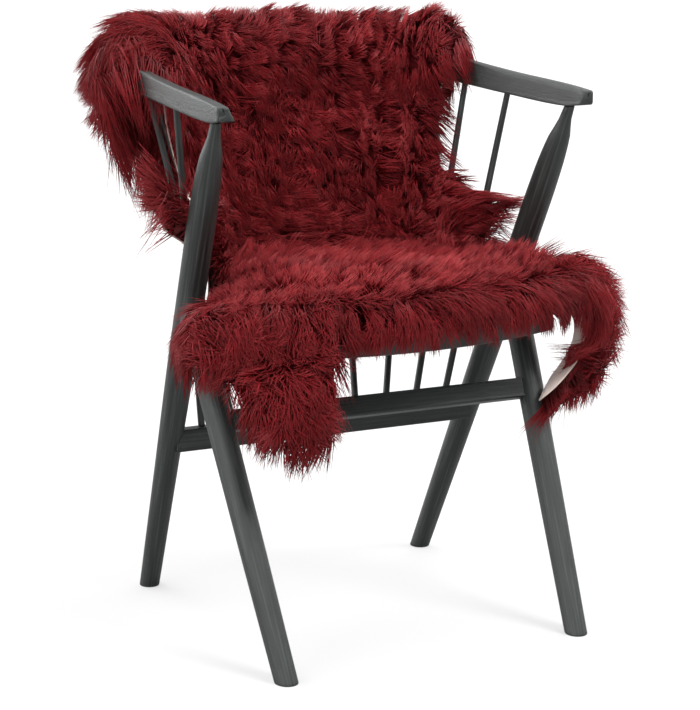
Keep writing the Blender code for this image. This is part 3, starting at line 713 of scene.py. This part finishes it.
def skin_grid(inset=0.0):
    """Metres along and across on a grid whose edges follow the hems and sides, less an inset."""
    share = np.linspace(-1.0, 1.0, PELT_COLUMNS + 1)
    start, end = hems(share)
    t = np.linspace(0.0, 1.0, PELT_ROWS + 1)[:, None]
    along = start + inset + (end - start - 2 * inset) * t
    side = np.sign(share) + 0.0 * along
    across = share * (half_width(along, side) - inset)
    return along, across


def slab(name, lower, upper, material):
    """A closed slab from two grids of points: one faces down, one up, and a wall joins their rims."""
    rows, columns = lower.shape[:2]
    number = np.arange(rows * columns).reshape(rows, columns)
    under = np.stack((number[:-1, :-1], number[:-1, 1:], number[1:, 1:], number[1:, :-1]), -1).reshape(-1, 4)
    over = under[:, ::-1] + rows * columns
    rim = np.concatenate((number[0, :-1], number[:-1, -1], number[-1, :0:-1], number[:0:-1, 0]))
    after = np.roll(rim, -1)
    wall = np.stack((rim, rim + rows * columns, after + rows * columns, after), -1)
    quads = np.concatenate((under, over, wall))
    points = np.concatenate((lower.reshape(-1, 3), upper.reshape(-1, 3)))
    return mesh_object(name, points + CHAIR, quads.ravel(), np.full(len(quads), 4), material=material)


suede = new_material("undyed suede")
place = add_node(suede, "ShaderNodeTexCoord").outputs["Object"]
mottle = noise(suede, place, 28.0, 5.0)
surface(suede, Base_Color=colour_ramp(suede, mottle, ((0.3, "#b59a92"), (0.6, "#d3bfb6"), (0.8, "#e0d0c6"))),
        Normal=bump(suede, noise(suede, place, 900.0, 3.0), 0.4, 0.0006), Roughness=0.9, Sheen_Weight=0.3)

along, across = skin_grid()
flesh = skin(along, across)
pelt = slab("pelt", flesh, flesh + SUEDE_THICK * standing(along, across), suede)
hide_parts("sheepskin")
print("pelt has", len(pelt.data.polygons), "faces")

# %% [markdown]
# ## The undercoat
#
# Under the long locks a fleece is a dense mat that no light gets through. It is a lumpy slab on the pelt,
# about half as high as the wool, and it closes the gaps between the locks. Its darker red is painted shade,
# the shadow deep in the gaps between the locks.

# %% Undercoat
MAT_SHARE, MAT_LUMPS = 0.50, 0.18  # its height as a share of the wool's, and its lumps' share of that
MAT_INSET, MAT_EDGE = 0.004, 0.020  # how far inside the rim it ends, and metres over which it thins
MAT_LEAST, MAT_CLEAR = 0.001, 0.010
SWELLS = (  # where the wool stands thicker or thinner than the table's pile
    ("rail rear", -.85, .1, .35, .004),
    ("rail top", -1, .06, .35, .018),
    ("rail top", .95, .05, .25, .008),
    ("middle back", .55, .03, .4, .014),
    ("upper back", .1, .05, .18, .008),
    ("at the legs", -.3, .022, .8, .006),
    ("seat front", .2, .022, .9, .008),
    ("seat front", .8, .07, .3, .012),
    ("front roll", .8, .06, .25, .008),
    ("seat front", -1, .09, .3, -.02),
    ("upper corner", -1, .07, .22, .012),
    ("upper corner", -.7, .05, .1, -.012),
    ("upper corner", .8, .05, .16, -.012))
RIM_STANDS = (  # where it stands up at the rim itself: the two flanks beside the legs, and the left ear
    ("upper corner", -1, .07, .28, .058),
    ("upper corner", 1, .05, .2, .02),
    ("rail rear", -1, .09, .35, .014))


def pile_height(along, across):
    """How far the wool stands from the skin: the table's pile and its swells."""
    return section_value("pile", along) + mounds(SWELLS, along, across)


def from_rim(along, across):
    """Metres to the nearest edge of the skin, and the way out to it, as metres along and across."""
    side = np.where(across < 0, -1.0, 1.0)
    half = half_width(along, side)
    start, end = hems(np.clip(across / half, -1, 1))
    gaps = np.stack((half - np.abs(across), along - start, end - along))
    nearest = gaps.argmin(0)
    return gaps.min(0), np.array((0.0, -1.0, 1.0))[nearest], np.where(nearest == 0, side, 0.0)


mat = new_material("wool mat with painted shade")
place = add_node(mat, "ShaderNodeTexCoord").outputs["Object"]
tufts = noise(mat, place, 260.0, 4.0)
# Its dark reds, mottled by tufts, are painted shade for the deep gaps between the locks.
surface(mat, Base_Color=colour_ramp(mat, tufts, ((0.35, "#340a0c"), (0.65, "#641318"))),
        Normal=bump(mat, tufts, 0.8, 0.003), Roughness=0.9, Specular_IOR_Level=0.1)

along, across = skin_grid(MAT_INSET)
flesh = skin(along, across)
up = standing(along, across)
waves = np.sin(118 * along + 2 * np.sin(31 * across)) * np.cos(96 * across + 1.7 * np.sin(27 * along))
edge, _, _ = from_rim(along, across)
height = MAT_SHARE * pile_height(along, across) * (1.0 + MAT_LUMPS * waves) * (1 - np.exp(-edge / MAT_EDGE))
upper = clear_of_bars(flesh + up * (SUEDE_THICK + MAT_LEAST + height)[..., None], MAT_CLEAR)
undercoat = slab("undercoat", flesh + (SUEDE_THICK + MAT_LEAST / 2) * up, upper, mat)
print("undercoat is up to", round(1000 * height.max()), "mm high")

# %% [markdown]
# ## Long wool
#
# The wool is combed only roughly. It hangs in pointed locks about as wide as a finger, and each leans the way
# it was last stroked or the way it hangs. Blender's hair isn't a mesh, so each strand is a closed three-sided
# taper: it rises from the skin, leans over with its lock and gathers with it to a point. Strands are placed
# in the skin's own two parameters, so they follow every fold, and they bend in those parameters as they rise.
#
# At the rim the wool leans out past the skin, comes back round it and droops. Beside the legs and at the left
# ear it is pushed out to the side as well, which follows the photograph's outline rather than the surface.
# Behind the rail some of it lies on the flesh side, where the hem turns in, and on the front it is curlier.

# %% Combing
COMB = (  # section, share across, spread along in m, spread across, combed along and across in m
    ("rear hang", 0, .1, 1.2, -.03, .004),
    ("rail rear", 0, .06, 1.2, -.026, .006),
    ("rail top", -.8, .08, .35, -.004, -.034),
    ("rail top", -.3, .05, .3, .008, .026),
    ("rail top", .4, .05, .5, .004, .036),
    ("upper back", -.7, .08, .4, .034, -.014),
    ("upper back", -.1, .08, .3, .034, .012),
    ("upper back", .6, .07, .4, .016, .034),
    ("middle back", .55, .06, .4, .008, .034),
    ("middle back", -.2, .08, .5, .036, .006),
    ("lower back", .1, .06, .8, .034, .022),
    ("upper corner", -.95, .06, .3, .006, -.036),
    ("upper corner", .95, .06, .3, .006, .032),
    ("seat rear", 0, .06, 1.0, 0, .036),
    ("at the legs", .4, .06, .6, .01, .036),
    ("seat front", -.7, .06, .4, .012, -.026),
    ("seat front", .2, .05, .5, .018, .018),
    ("front roll", 0, .03, 1.2, .036, .004),
    ("front edge", -.6, .06, .4, .01, -.014),
    ("front edge", .1, .03, .5, .018, .004),
    ("front face", .1, .03, .5, .006, 0),
    ("flap", -.6, .08, .4, .018, -.006))
HANG = 0.006
FALL_REACH = 0.010


def combing(along, across):
    """How far a strand's tip leans, in metres along and across: the comb strokes' weighted mean, plus HANG
    times the surface's fall each way, for the wool's own weight."""
    share = across / half_width(along, across)
    total = 0.02
    lean = np.zeros(along.shape + (2,))
    for name, centre, spread_along, spread_across, stroke_along, stroke_across in COMB:
        near = np.exp(-((along - PLACE[name]) / spread_along) ** 2
                      - ((share - centre) / spread_across) ** 2)
        lean = lean + near[..., None] * (stroke_along, stroke_across)
        total = total + near
    fall_along, fall_across = (
        (skin(along - a, across - b) - skin(along + a, across + b))[..., 2] / (2 * FALL_REACH)
        for a, b in ((FALL_REACH, 0), (0, FALL_REACH)))
    return lean / total[..., None] + HANG * np.clip(np.stack((fall_along, fall_across), -1), -1.0, 1.0)


print("strokes:", len(COMB))

# %% Locks and strands
STRANDS = 86000
STRAND_SEED = 11
OVERSHOOT = 2.6  # places tried for each strand, kept by how far the wool's face is stretched
STRETCH_REACH, STRETCH_LIMITS = 0.008, (0.5, 3.0)
ROOT_INSET, RIM_REACH = 0.0015, 0.024  # metres from the rim where wool starts, and over which it turns out
RIM_DENSER, FLANK_DENSER = 0.8, 3.0  # how much thicker it is set there, and on the left flank
FACE_SHARE = 0.8  # how high the wool's outer face lies, as a share of its height
JITTER = (0.1, 0.8)  # where in a square of the net its centre falls: from, and how far on
LOCK_PITCH, TUFT_PITCH = 0.0135, 0.046
STRAND_SHARES = np.array((0.02, 0.52))
STRAND_RADII = np.array((0.00085, 0.00080)) * 1.0


def cells(points, pitch, table):
    """For points in the flat skin, the nearest of the jittered centres of a square net of that pitch, and
    that centre's own random numbers. table holds two jitters and then the rest, for each square."""
    size = table.shape[0]
    square = np.floor(points / pitch).astype(int)
    best = np.full(len(points), 1e9)
    centre = np.zeros((len(points), 2))
    drawn = np.zeros((len(points), table.shape[2] - 2))
    for step_x in (-1, 0, 1):
        for step_y in (-1, 0, 1):
            near = square + (step_x, step_y)
            row = table[near[:, 0] % size, near[:, 1] % size]
            at = (near + JITTER[0] + JITTER[1] * row[:, :2]) * pitch
            distance = np.linalg.norm(at - points, axis=1)
            nearer = distance < best
            best = np.where(nearer, distance, best)
            centre[nearer] = at[nearer]
            drawn[nearer] = row[nearer, 2:]
    return centre, drawn


def wool_face(along, across):
    """The outer face of the wool, most of its height above the skin."""
    height = FACE_SHARE * pile_height(along, across)
    return skin(along, across) + standing(along, across) * height[..., None]


draws = np.random.default_rng(STRAND_SEED)
lock_table = draws.random((128, 128, 7))
tuft_table = draws.random((64, 64, 6))
pitch = math.sqrt(skin_area / STRANDS / OVERSHOOT)
along_marks = np.arange(0.0, PLACE["flap end"], pitch)
across_marks = np.arange(-0.50, 0.50, pitch)
roots = np.stack(np.meshgrid(along_marks, across_marks, indexing="ij"), -1).reshape(-1, 2)
roots = roots + draws.uniform(-0.5, 0.5, roots.shape) * pitch
edge, _, _ = from_rim(*roots.T)
roots, edge = roots[edge > ROOT_INSET], edge[edge > ROOT_INSET]
ahead, behind, right, left = (
    wool_face(roots[:, 0] + step_along, roots[:, 1] + step_across) for step_along, step_across in
    ((STRETCH_REACH, 0), (-STRETCH_REACH, 0), (0, STRETCH_REACH), (0, -STRETCH_REACH)))
stretched = np.linalg.norm(np.cross(ahead - behind, right - left), axis=1)
chance = np.clip(stretched / (2 * STRETCH_REACH) ** 2, *STRETCH_LIMITS)
chance = chance * (1 + RIM_DENSER * np.exp(-(edge / RIM_REACH) ** 2))
chance = chance * (1 + FLANK_DENSER * mounds(RIM_STANDS[:1], *roots.T) / RIM_STANDS[0][-1])
roots = roots[draws.random(len(roots)) < chance * STRANDS / chance.sum()]
roots = roots[np.argsort(roots[:, 0], kind="stable")]
print(len(roots), "strands")

# %% Strand shapes
RIM_OUT, RIM_OUT_SHARE = 0.034, 0.75  # how far tips lean out past the rim, and the share of the inset added
RIM_WRAP, RIM_DROOP = 0.024, 0.016  # how far they come back round it, and how far they hang
RIM_UNCOMBED, RIM_LOWER = 0.4, 0.5  # how much of the combing and of the height is lost there
RIM_SPLAY = 1.8  # radians between the locks that turn furthest along the rim
LOOSEST = 1.05  # the most that tips wrap and droop, as a share of those lengths
FRONT_HEM_OUT, FLAP_EDGE = 0.018, -0.120  # RIM_OUT along the front edge, and where the flap ends on it
FRONT_HEM_SHARE, REAR_HEM_SHARE = 0.4, 0.45  # how much of the wrap and droop the two hems have
FLANK_OUT, FLANK_SIDEWAYS = 0.010, 0.064  # how much further tips reach beside the legs: out, to the side
FLANK_LOWER, FLANK_LESS = 0.036, (0.6, 0.9)  # and down, and how much less they wrap and droop
LEFT_LIMIT, LEFT_SLACK = -0.328, 0.018  # past this x tips are eased back, so that none passes the slack
LEFT_ROOM = 0.060  # metres short of it over which the push to the side dies away
LONGER_RIM = (("front edge", 1, .08, .25, .018),)  # where the wool past the rim is longer
SAGS = (("rail top", -1, .11, .4, .013),)  # where it hangs by its own weight
SIDE_PUSH = (("rail rear", -1, .11, .45, .03),)  # where else it is pushed to the side
UNDER_WOOL = (("rear hang", -.9, .06, .34, .75),)  # the share of it that lies on the flesh side
UNDER_HEIGHT, UNDER_FROM = 0.009, 0.001  # how high that stands, and from where
UNDER_LEAN = (-0.036, -0.010)
TUFT_TURN, LOCK_TURN, OWN_TURN = 1.8, 1.4, 0.5  # radians between the furthest turns off the combing
FRONT_LOCK_TURN, FRONT_OWN_TURN = 1.4, 1.5  # how much more the curlier wool on the front turns
GATHER, FRONT_LOOSER = 0.72, 0.34  # how far tips move to their lock's middle, and how much less there
LEANS = (0.65, 0.35, 0.45, 0.15)  # a constant, and the tuft's, the lock's and the strand's own share
HEIGHTS = (0.72, 0.16, 0.18, 0.14)
LOOSE = (0.40, 0.00, 0.55, 0.40)
TONES = (0.00, 0.35, 0.35, 0.30)
WAVE, WAVES = 0.0045, 0.9  # metres to the side at the tip, and waves in a strand
STRAND_CLEAR = 0.0025
IN_FRONT = (("rear hem", 0), ("seat front", 0), ("front edge", 1), ("flap end", 1))
PASSING = (  # how much of the lean past the rim is left at metres along: least beside the legs
    (0.0, 1), (PLACE["upper corner"], 1), (PLACE["corner"] + 0.01, 0.40), (PLACE["behind legs"], 0.15),
    (PLACE["at the legs"] + 0.03, 0.15), (PLACE["seat front"], 1), (PLACE["flap end"], 1))


def varied(shares, *columns):
    """A constant plus shares of a column each of the tufts', the locks' and the strands' random numbers."""
    parts = zip(shares[1:], (tuft_draw, lock_draw, own), columns)
    return sum((share * draw[:, column] for share, draw, column in parts), shares[0])


def turned(a, b, angle):
    """The pair (along, across) turned by an angle: (a cos - b sin, a sin + b cos)."""
    return np.stack((a * np.cos(angle) - b * np.sin(angle), a * np.sin(angle) + b * np.cos(angle)), -1)


count = len(roots)
along, across = roots.T
lock_at, lock_draw = cells(roots, LOCK_PITCH, lock_table)
_, tuft_draw = cells(roots, TUFT_PITCH, tuft_table)
own = draws.random((count, 5))
under_draw = draws.random(count)

in_front = by_section(IN_FRONT, along)
flank = np.clip(mounds(RIM_STANDS[:2], along, across) / RIM_STANDS[0][-1], 0.0, 1.0)
edge, out_along, out_across = from_rim(along, across)
rim = np.exp(-(edge / RIM_REACH) ** 2)
at_front_hem = (out_along > 0) & (across > FLAP_EDGE)

lock_turn, own_turn = lock_draw[:, 0] - 0.5, own[:, 0] - 0.5
turn = TUFT_TURN * (tuft_draw[:, 0] - 0.5) + LOCK_TURN * lock_turn + OWN_TURN * own_turn
turn = turn + in_front * (FRONT_LOCK_TURN * lock_turn + FRONT_OWN_TURN * own_turn)
lean = turned(*combing(along, across).T, turn) * varied(LEANS, 1, 1, 1)[:, None]
lean = lean * (1 - RIM_UNCOMBED * rim)[:, None]

loose = rim * smooth(along, *np.array(PASSING).T) * varied(LOOSE, 0, 2, 2)
past_rim = RIM_OUT + RIM_OUT_SHARE * np.maximum(wool_past_rim(along, across) - HEM_INSET, 0.0)
past_rim = np.where(at_front_hem, FRONT_HEM_OUT, past_rim) + mounds(LONGER_RIM, along, across)
splay = RIM_SPLAY * (1 - 0.8 * flank) * (1 - 0.5 * in_front) * (lock_turn + 0.4 * own_turn)
lean = lean + ((past_rim + FLANK_OUT * flank) * loose)[:, None] * turned(out_along, out_across, splay)
height = pile_height(along, across) * varied(HEIGHTS, 2, 2, 2) * (1 - RIM_LOWER * rim * (1 - flank))
height = height + mounds(RIM_STANDS, along, across) * rim * (1.2 * own[:, 1] - 0.1)
under = under_draw < mounds(UNDER_WOOL, along, across)
lean = np.where(under[:, None], np.array(UNDER_LEAN) * (0.5 + own[:, 1:2]), lean)
print(int(under.sum()), "strands on the flesh side,", int((flank > 0.4).sum()), "on the flanks")

loose = np.minimum(loose * (1 - flank * own[:, 1]), LOOSEST)
longer = past_rim - np.where(at_front_hem, FRONT_HEM_OUT, RIM_OUT)
front_share = np.where(at_front_hem, FRONT_HEM_SHARE, 1.0)
rear_share = np.where(out_along < 0, REAR_HEM_SHARE, 1.0)
beside_flank = np.clip(2.0 * flank, 0.0, 1.0)
wrap, droop = ((front_share * length + longer) * loose * (1 - less * beside_flank) * rear_share
               for length, less in zip((RIM_WRAP, RIM_DROOP), FLANK_LESS))
droop = droop + mounds(SAGS, along, across) + FLANK_LOWER * flank * own[:, 2]
push = np.sign(across) * (0.3 + 0.7 * own[:, 3]) * (FLANK_SIDEWAYS * flank + mounds(SIDE_PUSH, along, across))
gather = (GATHER - FRONT_LOOSER * in_front)[:, None] * (lock_at - roots)
sideways = np.stack((-lean[:, 1], lean[:, 0]), -1) / np.maximum(np.linalg.norm(lean, axis=1), 1e-6)[:, None]

path = []
for share in np.append(STRAND_SHARES, 1.0):
    wave = WAVE * share * np.sin(2 * np.pi * (WAVES * share + lock_draw[:, 3] + 0.15 * own[:, 3]))
    at = roots + lean * share ** 1.5 + gather * share ** 1.3 + sideways * wave[:, None]
    curve = np.sin(0.5 * np.pi * share)
    above = np.where(under, -UNDER_FROM - UNDER_HEIGHT * (0.6 + own[:, 3]) * curve,
                     SUEDE_THICK + (height * curve ** 0.9 - wrap * share ** 2))
    ring = skin(*at.T) + standing(*at.T) * above[:, None]
    ring[:, 2] -= droop * share ** 2
    ring[:, 0] += push * np.clip((ring[:, 0] - LEFT_LIMIT) / LEFT_ROOM, 0.0, 1.0) * share ** 1.2
    past = np.maximum(LEFT_LIMIT - ring[:, 0], 0.0)
    ring[:, 0] += past - LEFT_SLACK * np.tanh(past / LEFT_SLACK)
    path.append(clear_of_bars(ring, STRAND_CLEAR))
path = np.stack(path, 1)
print("strand paths", path.shape)

# %% Strand meshes
wool = new_material("dyed wool with painted shade and highlight")
lock_uv = add_node(wool, "ShaderNodeUVMap", uv_map="UVMap").outputs["UV"]
parts = add_node(wool, "ShaderNodeSeparateXYZ", [(lock_uv, "Vector")]).outputs
# From root to tip the ramp is partly painted light: the near-black roots are painted shade between the locks
# and the pale pinkish tips a painted highlight, with the dye's own red between them. The tone per lock is the
# dye's own.
painted_shade_to_highlight = colour_ramp(wool, parts["Y"], (
    (0.0, "#240708"), (0.40, "#571014"), (0.75, "#8a1d23"), (1.0, "#bb4649")))
tone = add_node(wool, "ShaderNodeMapRange", [(parts["X"], "Value")], to_min=0.46, to_max=1.25)
dye_and_painted_light = add_node(wool, "ShaderNodeVectorMath", [(painted_shade_to_highlight, 0), (tone.outputs["Result"], "Scale")],
               operation="SCALE")
surface(wool, Base_Color=dye_and_painted_light.outputs["Vector"], Roughness=0.45, Specular_IOR_Level=0.35,
        Specular_Tint=linear("#f4b4b4"))


ODD_WAY = np.array((0.31, -0.52, 0.79))  # a way that hardly any strand runs


def strand_object(name, path, tone, thick):
    """Closed three-sided tapers along paths: at each point but the last a triangle, set across the path, and
    at the last a point. The faces of one strand are a pattern that every strand repeats."""
    count, rings = path.shape[0], path.shape[1] - 1
    ahead = unit(np.gradient(path, axis=1)[:, :-1])
    side = unit(np.cross(ahead, ODD_WAY))
    other = np.cross(ahead, side)
    angle = 2 * np.pi * np.arange(3) / 3
    round_ = side[:, :, None] * np.cos(angle)[:, None] + other[:, :, None] * np.sin(angle)[:, None]
    ring = path[:, :-1, None] + round_ * (STRAND_RADII[:, None, None] * thick[:, None, None, None])
    points = np.concatenate((ring.reshape(count, -1, 3), path[:, -1:]), 1)
    quads = round_faces(rings, 3)
    last = 3 * (rings - 1)
    tips = np.array([(last + k, last + (k + 1) % 3, 3 * rings) for k in range(3)])
    pattern = np.concatenate(((2, 1, 0), quads.ravel(), tips.ravel()))
    sizes = np.concatenate(([3], np.full(len(quads), 4), np.full(3, 3)))
    loops = pattern[None] + (3 * rings + 1) * np.arange(count)[:, None]
    up = np.append(np.repeat(STRAND_SHARES, 3), 1.0)[pattern]
    uv = np.stack((np.repeat(tone[:, None], len(pattern), 1), np.repeat(up[None], count, 0)), -1)
    return mesh_object(name, points.reshape(-1, 3) + CHAIR, loops.ravel(), np.tile(sizes, count), uv, wool)


tone = np.clip(varied(TONES, 3, 4, 4), 0, 1)
thick = 0.8 + 0.5 * own[:, 2]
names = ("wool_behind_rail", "wool_over_rail", "wool_back", "wool_seat", "wool_front")
for name, chosen in zip(names, np.array_split(np.arange(count), len(names))):
    piece = strand_object(name, path[chosen], tone[chosen], thick[chosen])
    piece.data.calc_loop_triangles()
    print(name, len(chosen), "strands,", len(piece.data.loop_triangles), "triangles")
